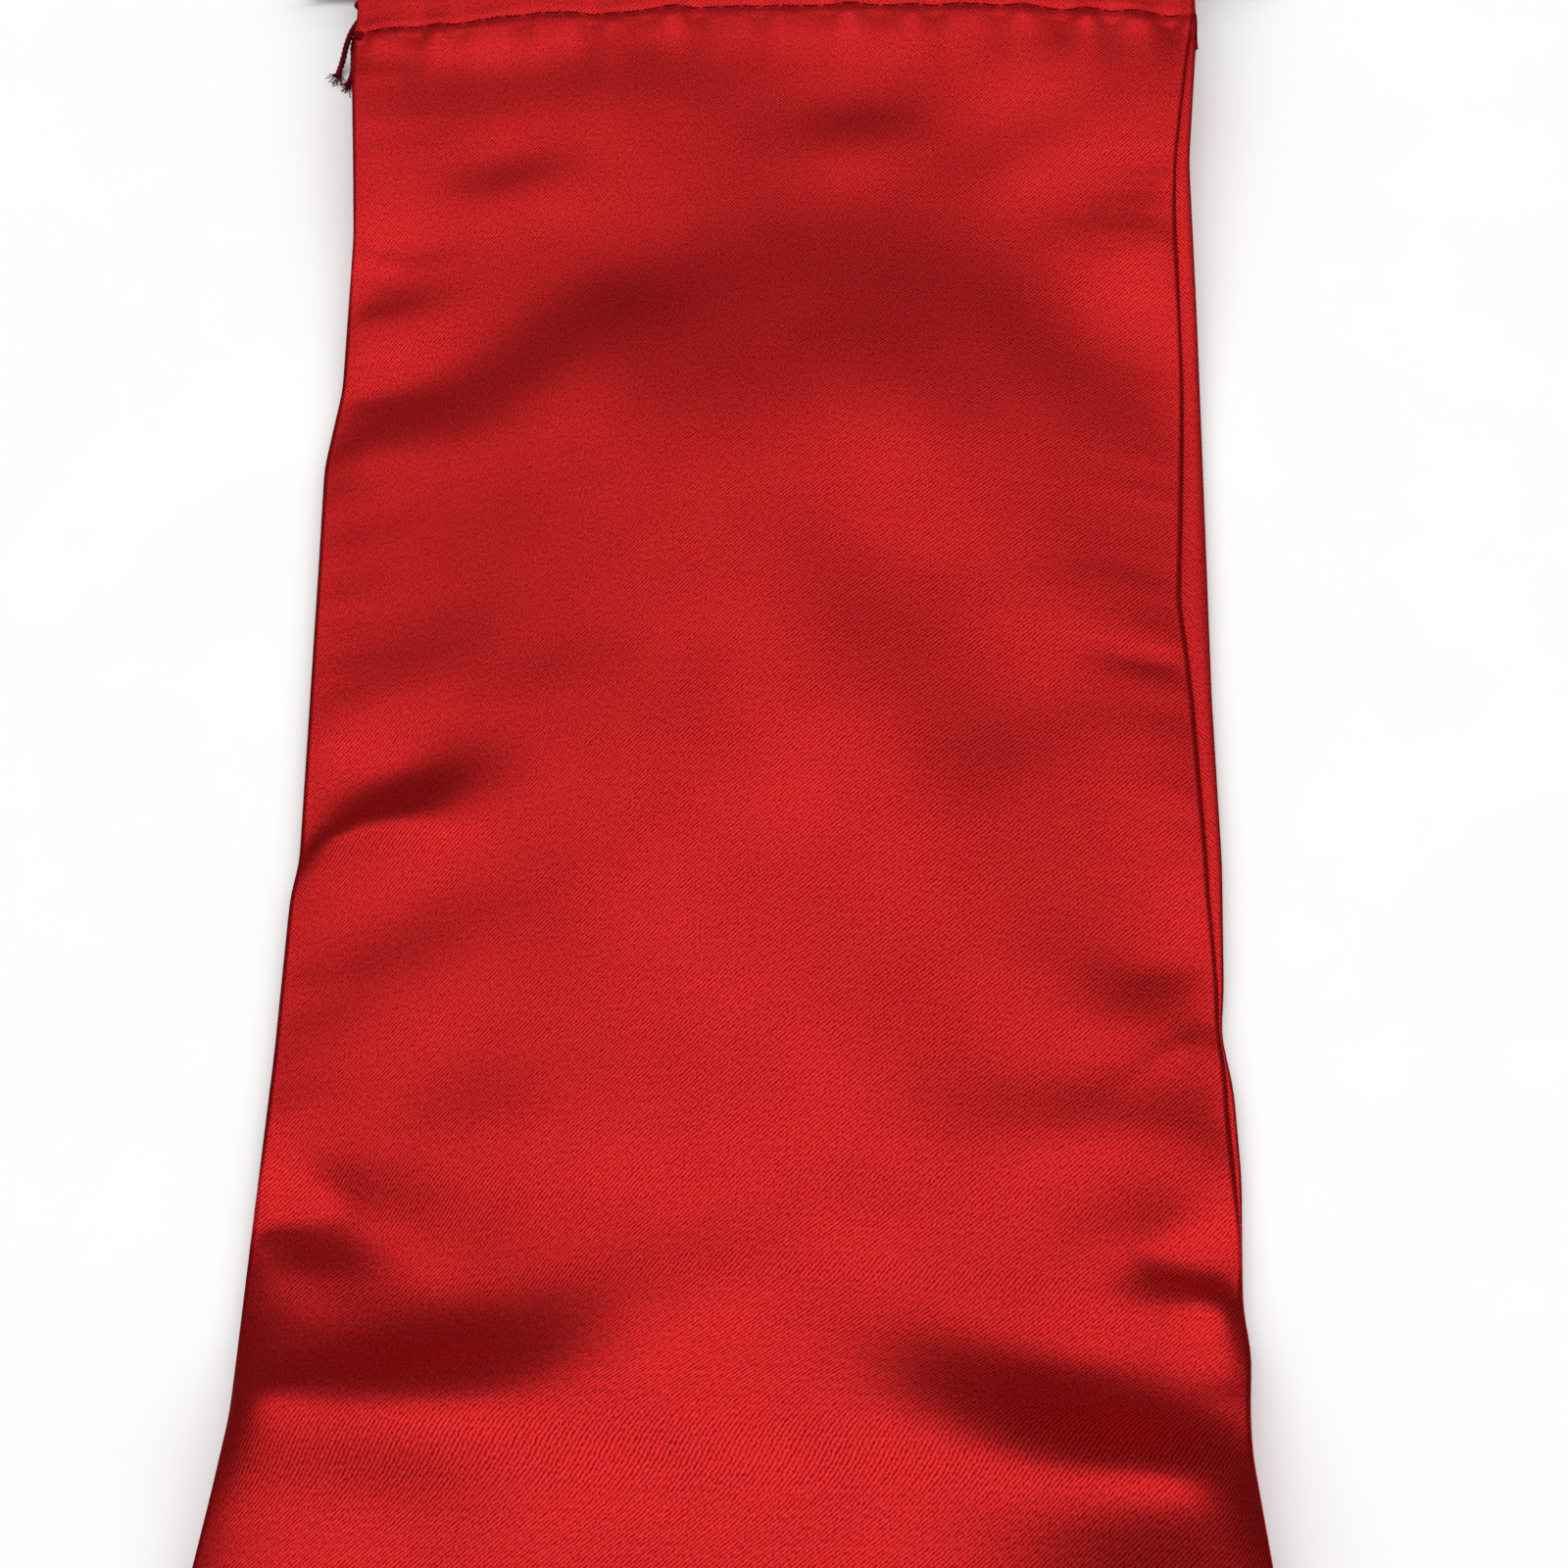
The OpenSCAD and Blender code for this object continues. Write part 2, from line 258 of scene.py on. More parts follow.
def ramp_node(tree, fac, stops):
    node = tree.nodes.new("ShaderNodeValToRGB")
    ramp = node.color_ramp
    while len(ramp.elements) < len(stops):
        ramp.elements.new(0.5)
    for element, (place, colour) in zip(ramp.elements, stops):
        element.position = place
        element.color = (*colour, 1)
    tree.links.new(fac, node.inputs["Fac"])
    return node.outputs["Color"]


def bump_node(tree, height, strength, distance):
    node = tree.nodes.new("ShaderNodeBump")
    node.inputs["Strength"].default_value = strength
    node.inputs["Distance"].default_value = distance
    tree.links.new(height, node.inputs["Height"])
    return node.outputs["Normal"]


TWILL_PITCH = 0.5   # millimetres between two diagonal lines of the weave


def satin(name, dark, bright, metallic, roughness, sheen):
    """Satin: fine diagonal lines, threads along the cloth, slubs across it, and a coloured gloss."""
    material, tree, shader = new_material(name)
    uv = tree.nodes.new("ShaderNodeUVMap")
    uv.uv_map = "weave"
    split = tree.nodes.new("ShaderNodeSeparateXYZ")
    tree.links.new(uv.outputs["UV"], split.inputs[0])
    across, along = split.outputs[0], split.outputs[1]
    slant = math_node(tree, "SUBTRACT", across, along)
    wobble = math_node(tree, "MULTIPLY", noise_node(tree, uv.outputs["UV"], 0.9, 1.0), 0.5)
    phase = math_node(tree, "MULTIPLY", math_node(tree, "ADD", slant, wobble),
                      2 * math.pi / (TWILL_PITCH * math.sqrt(2)))
    twill = math_node(tree, "MULTIPLY_ADD", math_node(tree, "SINE", phase), 0.5)
    twill.node.inputs[2].default_value = 0.5
    threads = noise_node(tree, stretched(tree, uv.outputs["UV"], (7.0, 1.1, 1.0)), 1.0, 2.0)
    floats = noise_node(tree, stretched(tree, uv.outputs["UV"], (2.6, 1.9, 1.0)), 1.0, 1.0)
    slubs = noise_node(tree, stretched(tree, uv.outputs["UV"], (0.05, 3.2, 1.0)), 1.0, 1.0)
    patches = noise_node(tree, uv.outputs["UV"], 0.05, 2.0)
    weave = math_node(tree, "ADD", math_node(tree, "MULTIPLY", twill, 0.28),
                      math_node(tree, "MULTIPLY", threads, 0.22))
    weave = math_node(tree, "ADD", weave, math_node(tree, "MULTIPLY", floats, 0.5))
    tone = math_node(tree, "ADD", math_node(tree, "MULTIPLY", weave, 0.84),
                     math_node(tree, "MULTIPLY", slubs, 0.06))
    tone = math_node(tree, "ADD", tone, math_node(tree, "MULTIPLY", patches, 0.1))
    tree.links.new(ramp_node(tree, tone, [(0.35, dark), (0.61, bright)]), shader.inputs["Base Color"])
    rough = math_node(tree, "MULTIPLY_ADD", threads, 0.12)
    rough.node.inputs[2].default_value = roughness - 0.06
    tree.links.new(rough, shader.inputs["Roughness"])
    tree.links.new(bump_node(tree, weave, 0.5, 0.03 * MM), shader.inputs["Normal"])
    shader.inputs["Metallic"].default_value = metallic
    shader.inputs["Specular Tint"].default_value = (0.9, 0.25, 0.25, 1)
    shader.inputs["Specular IOR Level"].default_value = 0.3
    shader.inputs["Sheen Weight"].default_value = sheen
    shader.inputs["Sheen Tint"].default_value = (1.0, 0.2, 0.2, 1)
    return material


def twisted(name, dark, bright, scale, roughness):
    """Thread and cord: dark and bright fibres, with a fine bump."""
    material, tree, shader = new_material(name)
    place = tree.nodes.new("ShaderNodeTexCoord").outputs["Object"]
    fibres = noise_node(tree, stretched(tree, place, (scale, scale, scale)), 1.0, 4.0)
    tree.links.new(ramp_node(tree, fibres, [(0.35, dark), (0.7, bright)]), shader.inputs["Base Color"])
    tree.links.new(bump_node(tree, fibres, 0.6, 0.05 * MM), shader.inputs["Normal"])
    shader.inputs["Roughness"].default_value = roughness
    shader.inputs["Specular IOR Level"].default_value = 0.12
    shader.inputs["Specular Tint"].default_value = (1.0, 0.2, 0.25, 1)
    return material


def floor_material():
    material, tree, shader = new_material("pale_floor")
    place = tree.nodes.new("ShaderNodeTexCoord").outputs["Object"]
    grain = noise_node(tree, place, 30.0, 3.0)
    tree.links.new(ramp_node(tree, grain, [(0.2, (0.9, 0.9, 0.9)), (0.8, (0.93, 0.93, 0.93))]),
                   shader.inputs["Base Color"])
    shader.inputs["Roughness"].default_value = 0.9
    shader.inputs["Specular IOR Level"].default_value = 0.1
    return material


SATIN = satin("red_satin", (0.22, 0.003, 0.005), (0.64, 0.022, 0.023), 0.85, 0.48, 0.0)
SATIN_BACK = satin("satin_wrong_side", (0.3, 0.002, 0.005), (0.48, 0.006, 0.012), 0.1, 0.7, 0.2)
THREAD = twisted("sewing_thread", (0.12, 0.001, 0.004), (0.3, 0.004, 0.010), 9000.0, 0.55)
# Cord colour: its own dark red, made darker still by painted shade
CORD_RED_AND_SHADE = twisted("dark_red_cord_and_painted_shade", (0.06, 0.003, 0.007), (0.19, 0.009, 0.016), 5000.0, 0.8)


# ---- Camera, floor and light ----

CAMERA_AT = (29.7, -252.1, 416.5)   # millimetres
SENSOR = 36.0
FOCAL_SHARE = 1.979   # focal length over the width of the picture
TILT, YAW, ROLL = 30.0, 6.02, -5.69   # degrees
FLOOR_HALF = 8.0                      # half the side of the floor, in metres
PANEL_AT = (0.0, 0.1, 1.7)            # metres
PANEL_SIZE = (6.0, 2.7)               # metres
PANEL_POWER = 85                      # watts
WORLD_STRENGTH = 0.12


def make_camera():
    """The view ends at the lower row of stitches, and just above the bottom seam."""
    data = bpy.data.cameras.new("camera")
    data.sensor_width = SENSOR
    data.lens = FOCAL_SHARE * SENSOR
    data.clip_start = 0.01
    camera = bpy.data.objects.new("camera", data)
    bpy.context.scene.collection.objects.link(camera)
    turn = (Matrix.Rotation(math.radians(YAW), 4, "Z") @ Matrix.Rotation(math.radians(TILT), 4, "X")
            @ Matrix.Rotation(math.radians(ROLL), 4, "Z"))
    camera.matrix_world = Matrix.Translation(np.array(CAMERA_AT) * MM) @ turn
    bpy.context.scene.camera = camera


def make_floor():
    far = FLOOR_HALF
    corners = [(-far, -far, 0), (far, -far, 0), (far, far, 0), (-far, far, 0)]
    floor = make_object("floor", corners, [(0, 1, 2, 3)], floor_material())
    floor.visible_glossy = False   # the satin mirrors the studio, not the white sheet under it


def make_light():
    """One large panel overhead, and a dim world that the steep folds mirror."""
    data = bpy.data.lights.new("overhead", "AREA")
    data.shape = "RECTANGLE"
    data.size, data.size_y = PANEL_SIZE
    data.energy = PANEL_POWER
    light = bpy.data.objects.new("overhead", data)
    bpy.context.scene.collection.objects.link(light)
    light.location = PANEL_AT
    light.rotation_mode = "QUATERNION"
    light.rotation_quaternion = Vector((0, 0, -1)).to_track_quat("-Z", "Y")
    world = bpy.data.worlds.new("studio")
    world.use_nodes = True
    world.node_tree.nodes["Background"].inputs["Color"].default_value = (1, 1, 1, 1)
    world.node_tree.nodes["Background"].inputs["Strength"].default_value = WORLD_STRENGTH
    bpy.context.scene.world = world
    bpy.context.scene.view_settings.view_transform = "Standard"


# ---- Drawstrings ----

# Places and routes are in millimetres: outwards from the left side, along the sack from the
# lower row of stitches, and up from the floor
CORD_D = 1.2
LEFT_TUNNEL_AT, RIGHT_TUNNEL_AT = 15.0, 18.2
BIGHT = 12.0
KNOT_AT = (-1.9, 10.5)
KNOT_HALF_GAP = 0.65
CORD_STRANDS = {"twist": 2 * math.pi / (2.6 * MM), "ridge": 0.2, "strands": 3}
UPPER_TAIL = [(3.6, -1.2, 0.8), (3.2, 0.5, 1.1), (2.6, 1.9, 2.1), (2.1, 3, 3.4),
              (1.3, 4.2, 4.9), (0.4, 5.7, 5.8), (-0.7, 7.3, 6.2)]
LOWER_TAIL = [(1.7, -3.3, 0.8), (1.1, -1.7, 0.8), (0.8, 0.2, 1.2), (0.75, 2, 2.2),
              (0.75, 3.7, 3.2), (0.2, 5.5, 4.2), (-0.9, 6.9, 4.8)]
STRAND_TURN = [(-1, 12.6, 0.2), (0.5, 13.5, 0.4), (1.1, 14.3, 0.7), (0.8, 14.9, 0.95), (-0.6, 15, 1)]

KNOT_R = 0.56 * MM    # radius of the cord inside the tight knot
YARN_R = 0.07 * MM    # radius of one loose yarn at a cut end
YARNS = 22

MOUTH_MIDDLE = (back_facing_top + facing_low) / 2 / MM
FRONT_CORD_Z = (casing_top - 0.4 * MM + facing_top) / 2 / MM
BACK_CORD_Z = (back_facing_top / MM) / 2
HALF = half_w / MM


def half_route(tail, up, tunnel_z):
    """One strand: from its cut end through the knot and the turn into its tunnel, to the right side."""
    points = [(-HALF - p[0], p[1], p[2]) for p in tail]
    points += [(-HALF - KNOT_AT[0], KNOT_AT[1] + s, MOUTH_MIDDLE + up * KNOT_HALF_GAP)
               for s in (-1.2, 0.8)]
    points += [(-HALF - p[0], p[1], MOUTH_MIDDLE + (tunnel_z - MOUTH_MIDDLE) * p[2])
               for p in STRAND_TURN]
    points += [(-HALF + 2 * HALF * k / 4, LEFT_TUNNEL_AT, tunnel_z) for k in (1, 2, 3, 4)]
    return points


def drawstring_route():
    """Left drawstring's middle line: out through the front tunnel, round the loop, and back."""
    r = (FRONT_CORD_Z - BACK_CORD_Z) / 2
    loop = [(HALF + BIGHT - r + r * math.sin(math.pi * k / 8), LEFT_TUNNEL_AT,
             BACK_CORD_Z + r + r * math.cos(math.pi * k / 8)) for k in range(9)]
    return half_route(UPPER_TAIL, 1, FRONT_CORD_Z) + loop + half_route(LOWER_TAIL, -1, BACK_CORD_Z)[::-1]


def placed(points, right):
    """Left drawstring's points in metres; the right one is the same, turned half round."""
    p = np.array(points, float)
    if right:
        p = p * (-1, -1, 1) + (0, LEFT_TUNNEL_AT + RIGHT_TUNNEL_AT, 0)
    return p * MM + (0, row_y, 0)


def straight_steps(points, step):
    """Points a step apart along straight runs, so that the curve through them stays on the route."""
    p = np.asarray(points, float)
    out = [p[0]]
    for a, b in zip(p[:-1], p[1:]):
        n = max(1, int(np.linalg.norm(b - a) / step))
        out += [a + (b - a) * k / n for k in range(1, n + 1)]
    return np.array(out)


def frayed_end(tip, way, seed):
    """Fine loose yarns that flare from a cut cord end."""
    draw = np.random.default_rng(seed)
    way = way / np.linalg.norm(way)
    yarns = []
    for _ in range(YARNS):
        spread = draw.normal(0, 0.42, 3)
        spread -= (spread @ way) * way
        length = draw.uniform(1.4, 2.6) * MM
        start = tip - way * 1.0 * MM + spread * 0.5 * MM
        curl = draw.normal(0, 0.25, 3)
        line = [start + (way + spread * t) * length * t + curl * length * 0.3 * t * t
                for t in np.linspace(0, 1, 6)]
        line = np.array(line)
        line[:, 2] = np.maximum(line[:, 2], 0.12 * MM)
        yarns.append(line)
    return yarns


def knot_path(centre):
    """Trefoil line of a tight overhand knot."""
    t = np.linspace(0, 2 * np.pi, 73)[:-1]
    t = np.append(t, 2 * np.pi)
    x = (0.72 + 0.38 * np.cos(3 * t)) * np.cos(2 * t)
    y = (0.72 + 0.38 * np.cos(3 * t)) * np.sin(2 * t) * 1.15
    z = 0.62 * np.sin(3 * t)
    return centre + np.stack([z, y, x], axis=1) * MM


def make_drawstring(side, right):
    route = placed(drawstring_route(), right)
    path = resample(straight_steps(route, 9 * MM), 0.4 * MM)
    cord = tubes_object(side + "_cord", [path], CORD_D / 2 * MM, 12, CORD_RED_AND_SHADE, **CORD_STRANDS)
    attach(cord, side + "_cord")
    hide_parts(side + "_drawstring")
    yarns = (frayed_end(path[0], path[0] - path[3], 11 + right)
             + frayed_end(path[-1], path[-1] - path[-4], 21 + right))
    fray = tubes_object(side + "_cord_fray", yarns, YARN_R, 5, CORD_RED_AND_SHADE)
    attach(fray, side + "_cord")
    knot_centre = placed([(-HALF - KNOT_AT[0], KNOT_AT[1], MOUTH_MIDDLE)], right)[0]
    knot = tubes_object(side + "_knot", [knot_path(knot_centre)], KNOT_R, 12, CORD_RED_AND_SHADE, **CORD_STRANDS)
    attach(knot, side + "_cord")
    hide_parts(side + "_drawstring_knot")


# ---- Outline of the lofted sack, in millimetres ----

left_edge = through([(200, 77), (165, 76.9), (152, 76.2), (147, 75.3), (142, 75.8), (131, 75.4),
                     (113, 73.6), (95, 71.9), (62, 70.8), (46, 72.3), (30, 71.6), (0, 70.4), (-28, 69.3),
                     (-34, 70.1), (-60, 69.9), (-90, 70.3), (-115, 70.7), (-126, 72), (-140, 73.9),
                     (-160, 74.8), (-200, 75)], 1.6)
right_edge = through([(200, 75.8), (150, 75.7), (137, 74.9), (127, 74), (109, 72.4), (75, 72.1), (43, 71.6),
                      (0, 70.9), (-29, 71), (-50, 70.2), (-57, 69.5), (-66, 70.8), (-80, 71.2),
                      (-91, 70.7), (-99, 70.4), (-106, 71.2), (-114, 70.6), (-120, 70.6), (-137, 72.6),
                      (-160, 74.6), (-200, 75)], 1.6)
# Width of the back panel's strip that lies rolled over the right edge
right_strip = through([(200, 0.9), (148, 0.9), (143, 1.0), (136, 1.3), (115, 2.2), (98, 2.9), (60, 2.9),
                       (45, 3.4), (18, 4.6), (8, 3.7), (0, 3.1), (-33, 2.3), (-50, 1.1), (-58, 0.4),
                       (-68, 1.3), (-80, 1.1), (-90, 0.3), (-200, 0.3)], 1.5)

ROW, FOLD, MOUTH, BOTTOM = row_y / MM, fold_y / MM, mouth_y / MM, bottom_y / MM
CASING_TOP, LOFT = casing_top / MM, loft_top / MM
SEAM_Z = 2.2       # height of the left side seam
LEAST_Z = 2.3      # the front cloth stays above this, clear of the allowances inside the sack

# Folds that start at a side seam: start (x, y), direction in degrees, bow, length,
# width towards the bottom and towards the mouth, height of the crest
FOLDS = [
    (-72, 89, -28, 0.012, 26, 2.6, 1.3, 0.9),
    (-70, -29, 38, -0.026, 30, 5, 2.4, 2.0),
    (-70, -90, 18, -0.008, 24, 5, 2.8, 2.4),
    (-71, -116, 2, 0.003, 50, 12, 6, 2.5),
    (71, 87, 200, 0.004, 22, 2.4, 1.4, 0.7),
    (69, 7, 184, 0.004, 26, 3.2, 1.8, -0.9),
    (71, -58, 196, -0.012, 28, 5, 2.8, 1.9),
    (71, -102, 160, 0.008, 26, 5, 3.4, 2.6),
    (71, -114, 184, 0.0, 12, 2, 1.4, 0.6),
]

# Soft swells of the cloth: centre (x, y), direction in degrees, reach along and across, height
SWELLS = [
    (51, 88, 0, 9, 6, 0.5),
    (52, 16, 20, 9, 5, 0.6),
    (6, -12, 5, 34, 13, 0.8),
    (-62, -64, 0, 12, 7, 0.6),
    (6, -85, 90, 32, 16, 0.8),
    (66, -106, 2, 10, 7, 4.6),
    (-66, -98, 0, 10, 7, 4.0),
    (-50, -130, 0, 18, 17, 2.4),
    (55, -136, 0, 14, 16, 2.4),
]

# Patches of the cloth that lean towards the mouth (or, where negative, towards the bottom):
# centre (x, y), direction in degrees, reach along and across it, steepness
SLOPES = [
    (-55, -19, 6, 9, 6.5, 0.62),
    (-66, -25, 30, 5, 2.4, 0.4),
    (-50, -45, 15, 9, 7, 0.1),
    (-52, 6, 5, 12, 8, 0.1),
    (-36, -2, 10, 10, 5, 0.06),
    (-67, -89, -8, 9, 5, 1.0),
    (-60, -97, -5, 13, 8, 0.75),
    (-68, -105, 0, 6, 7, 0.5),
    (-56, -112, 0, 15, 9, 0.6),
    (-38, -111, 6, 12, 11, 0.5),
    (-55, -135, 0, 15, 9, 0.2),
    (-17, -101, 35, 11, 8, 0.08),
    (-2, -98, 30, 14, 8, 0.08),
    (-40, -72, 0, 11, 7, 0.1),
    (59, -52, 20, 11, 6, 0.4),
    (45, -46, 35, 8, 6, 0.15),
    (53, -70, 12, 14, 8, 0.3),
    (64, -97, 2, 10, 6, 1.0),
    (62, -108, 0, 9, 5, 0.4),
    (55, -119, 4, 15, 11, 1.0),
    (62, -124, 0, 11, 7, 0.45),
    (32, -113, -6, 11, 10, 0.35),
    (30, -92, -15, 11, 5, 0.1),
    (-64, 55, 8, 9, 8, 0.27),
    (-42, 58, 35, 16, 9, 0.13),
    (-24, 71, 12, 16, 12, 0.1),
    (12, 71, -2, 28, 22, 0.115),
    (44, 82, -20, 14, 12, 0.07),
    (46, 64, -40, 16, 10, 0.1),
    (18, 53, 0, 28, 12, 0.07),
    (-38, 120, 0, 18, 8, 0.08),
    (-66, 77, 0, 9, 8, 0.3),
    (62, 96, -20, 10, 9, 0.12),
    (58, 90, 35, 10, 8, 0.16),
    (-44, 101, 12, 8, 5, 0.16),
    (16, 110, 10, 9, 7, 0.18),
    (45, 107, 28, 14, 7, 0.13),
    (44, -11, 38, 13, 8, 0.13),
]

# Small unevenness of the cloth, each wave with its own seed
side_gathers = ripple(9, 5, 13, 3)
cloth_drift = ripple(5, 40, 90, 5)
row_gathers = ripple(7, 4, 11, 9)
row_stray = ripple(5, 16, 45, 17)
header_wave = ripple(5, 22, 48, 12)
edge_wave = ripple(4, 18, 40, 15)
floor_drift = ripple(5, 14, 40, 31)


def fold_height(x, y):
    """Height that the folds, swells and slopes together give the front cloth."""
    total = np.zeros_like(x)
    for fx, fy, angle, bow, length, near, far, height in FOLDS:
        a = math.radians(angle)
        along = (x - fx) * math.cos(a) + (y - fy) * math.sin(a)
        up = 1.0 if math.cos(a) >= 0 else -1.0
        aside = up * ((y - fy) * math.cos(a) - (x - fx) * math.sin(a)) - bow * along ** 2
        share = np.clip(along / length, 0, 1)
        fade = (1 - smooth(share)) * smooth((along + 4) / 5)
        grow = 0.55 + 1.1 * share
        b = np.minimum(aside, 0) / (near * grow)
        below = np.exp(-b ** 2 * 0.9 + b * 0.4)
        s = np.maximum(aside, 0) / (far * grow)
        above = 1.45 * np.exp(-s * 0.9) - 0.45 * np.exp(-s * 0.3)
        total += height * fade * np.where(aside < 0, below, above)
    for sx, sy, angle, reach_along, reach_across, height in SWELLS:
        a = math.radians(angle)
        along = (x - sx) * math.cos(a) + (y - sy) * math.sin(a)
        aside = (y - sy) * math.cos(a) - (x - sx) * math.sin(a)
        total += height * np.exp(-0.5 * (along / reach_along) ** 2 - 0.5 * (aside / reach_across) ** 2)
    for sx, sy, angle, reach_along, reach_across, steepness in SLOPES:
        a = math.radians(angle)
        along = ((x - sx) * math.cos(a) + (y - sy) * math.sin(a)) / reach_along
        aside = ((y - sy) * math.cos(a) - (x - sx) * math.sin(a)) / reach_across
        total -= steepness * reach_across * aside * np.exp(-0.5 * (along ** 2 + aside ** 2))
    return total


def loft_at(y):
    """Height of the front cloth along the middle of the sack."""
    low = np.clip((y - BOTTOM) / 85.0, 0, 1)
    rise = (1 - (1 - low) ** 2.2) ** 0.62
    high = smooth((y - 5) / 127.0)
    body = SEAM_Z + (LOFT - 3.5 - SEAM_Z) * rise
    return body + (casing_height(0.0) - 0.3 - body) * high


def casing_height(u):
    """Height of the front ply over the casing: it rides a little higher in the middle."""
    return CASING_TOP + 2.6 * (1 - np.abs(u) ** 2.2)


def grid_steps():
    """Rows along the cloth, closer together at the lower row of stitches."""
    body = np.linspace(BOTTOM, ROW - 6, 180)
    near = np.linspace(ROW - 6, ROW + 3, 19)[1:]
    casing = np.linspace(ROW + 3, FOLD + 2, 14)[1:]
    header = np.linspace(FOLD + 2, MOUTH - 1.3, 22)[1:]
    return np.concatenate([body, near, casing, header])


COLUMNS = 4 * 43    # faces across the front cloth
OUTLINE_Z = 3.0     # height above the floor for which the outline is given
HEM_GAP = CASING_TOP - facing_top / MM   # between the two plies of the front casing and header


def seen_at(side, y, height):
    """x of the outline and width of the strip; the outline is given as the camera sees it at OUTLINE_Z."""
    scale = (CAMERA_AT[2] - height) / (CAMERA_AT[2] - OUTLINE_Z)
    level_y = CAMERA_AT[1] + (y - CAMERA_AT[1]) / scale
    edge = right_edge(level_y) if side > 0 else -left_edge(level_y)
    strip = right_strip(level_y) if side > 0 else 0.0 * level_y
    return CAMERA_AT[0] + (edge - CAMERA_AT[0]) * scale, strip


SWELL_Y = -121.0    # where the side edges stand highest, near the foot of the sack


def edge_height(y):
    """Height of the front cloth at its side edges: it swells near the foot and climbs to the casing."""
    climb = smooth((y - 35) / 92.0) ** 1.3
    reach = np.where(y < SWELL_Y, 28.0, 10.0)
    swell = 6.5 * np.exp(-0.5 * ((y - SWELL_Y) / reach) ** 2) * smooth((y - BOTTOM) / 30)
    return SEAM_Z + 0.5 + (CASING_TOP - SEAM_Z - 0.7) * climb + swell


def seam_height(y):
    """Height of the left side seam, which rises towards the slit."""
    return SEAM_Z + 2.4 * smooth((y - 40) / 90.0)


def shut_share(y):
    """1 where the side seams hold the cloths together, and 0 along the slits."""
    return 1 - smooth((y - (ROW - 6)) / 5.0)


def row_line(x):
    """How far the lower row of stitches strays from its straight line."""
    return 2.2 * (1 - np.abs(x / 74.0) ** 3) - 0.7 + 0.35 * row_stray(x)


def front_upper_face(ys, us):
    """Points of the front cloth's outer face, in millimetres, from the bottom seam to the mouth."""
    y, u = np.meshgrid(ys, us, indexing="ij")
    edge_z = edge_height(y)
    left, _ = seen_at(-1, y, edge_z)
    right, strip = seen_at(1, y, edge_z)
    right = right - strip
    open_share = smooth((y - (ROW - 8)) / 8.0)
    x = (left + right) / 2 + (right - left) / 2 * u
    edge_z = edge_z + np.where(u > 0, 0.2 * smooth(strip / 1.6) * (1 - open_share), 0)
    bell = np.cos(np.pi / 2 * np.clip(u, -1, 1)) ** 2
    dome = 0.6 * (1 - np.abs(u) ** 2.2) + 0.4 * bell
    keep = (1 - np.abs(u) ** 24) * (1 - smooth((y - (ROW - 12)) / 10.0)) * smooth((y - BOTTOM) / 25.0)
    inset = (1 - np.abs(u)) * 72
    gathers = 0.22 * side_gathers(y + 37 * (u > 0)) * np.exp(-inset / 7.0)
    lumps = fold_height(x, y) + gathers + 0.35 * cloth_drift(x + 0.7 * y)
    z = edge_z + (loft_at(y) - edge_z) * dome + lumps * keep
    z += (casing_height(u) + mouth_waves(x, y) - z) * open_share
    z += row_puckers(x, y)
    return np.stack([x, y, above_lining(z)], axis=-1)


def above_lining(z):
    """Keeps the cloth softly above the seam allowances inside the sack."""
    soft = 0.7
    return LEAST_Z + soft * np.logaddexp(0, (z - LEAST_Z) / soft)


def row_puckers(x, y):
    """Dimples at the needle holes, and the small gathers that hang below the lower row."""
    gap = y - ROW - row_line(x)
    hole = 0.5 + 0.5 * np.cos(2 * np.pi * x / (STITCH_PITCH / MM))
    line = -0.32 * np.exp(-(gap / 0.8) ** 2) * (0.5 + 0.5 * hole)
    hang = 0.45 * row_gathers(x) * np.exp(-np.abs(gap + 2.5) / 4.5)
    upper_gap = y - upper_row_y / MM
    line += -0.3 * np.exp(-(upper_gap / 0.9) ** 2) * (0.55 + 0.45 * hole)
    return (line + hang) * smooth((HALF - np.abs(x)) / 3.0)


def mouth_waves(x, y):
    """Gentle ruffle of the header, and the soft tunnel of the casing below it."""
    beyond = smooth((y - FOLD) / 26.0)
    tunnel = 0.5 * np.exp(-((y - (ROW + 8)) / 4.0) ** 2)
    return 1.25 * beyond * header_wave(x) + tunnel + 0.25 * header_wave(1.7 * x + 11)


def make_front():
    ys = grid_steps()
    us = np.linspace(-1, 1, COLUMNS + 1)
    outer = front_upper_face(ys, us)
    last = outer[-1]
    wave = 0.6 * edge_wave(last[:, 0])
    arc = []
    for t in np.linspace(0, math.pi, 9)[1:]:
        arc.append(last + np.stack([0 * wave, HEM_GAP / 2 * math.sin(t) + wave * math.sin(t / 2),
                                    -HEM_GAP / 2 * (1 - math.cos(t)) + 0 * wave], axis=-1))
    inner = front_upper_face(np.linspace(MOUTH - 1.3, ROW - 0.4, 28)[1:], us)
    inner[:, :, 2] = inner[:, :, 2] - HEM_GAP
    inner[:, :, 2] -= 2.4 * (1 - smooth((inner[:, :, 1] - ROW - 15) / 8.0)) * (1 - np.abs(us) ** 2.2)
    grid = with_side_walls(np.concatenate([outer, np.array(arc), inner]))
    cloth = sheet_object("front_cloth", grid * MM, flat_coordinates(grid), CLOTH, SATIN, SATIN_BACK)
    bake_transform(cloth)
    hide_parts("front_panel", "front_header", "front_facing")
    return grid


